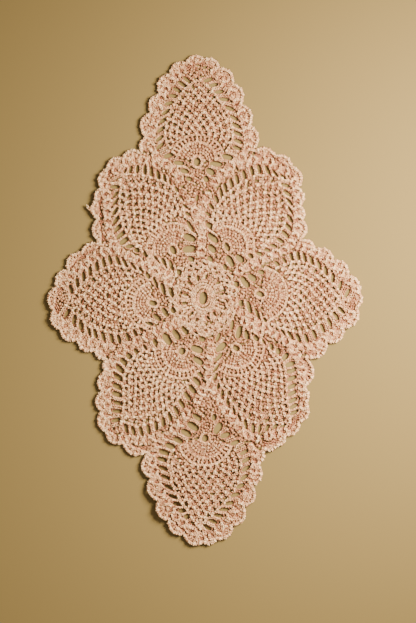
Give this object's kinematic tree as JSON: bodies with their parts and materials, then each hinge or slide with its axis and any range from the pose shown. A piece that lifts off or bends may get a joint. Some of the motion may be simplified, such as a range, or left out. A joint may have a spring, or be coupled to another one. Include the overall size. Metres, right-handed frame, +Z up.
{
  "type": "crochet tray cloth",
  "caption": "Diamond-shaped crochet tray cloth with pineapple motifs round a centre ring, ladders of small gaps between them and a scalloped edge; lies flat to cover a tray or table top.",
  "frame": {"origin": "middle of the cloth's box, on its flat underside", "axes": "+Z up out of the cloth, +Y along its long way to the top motif, +X to the right seen from above"},
  "size_m": [0.2686, 0.418, 0.0026],
  "materials": {
    "crochet_cotton": "matt crochet cotton, pale peach"
  },
  "bodies": {
    "root": {"tray_cloth": "crochet_cotton"}
  },
  "joints": []
}
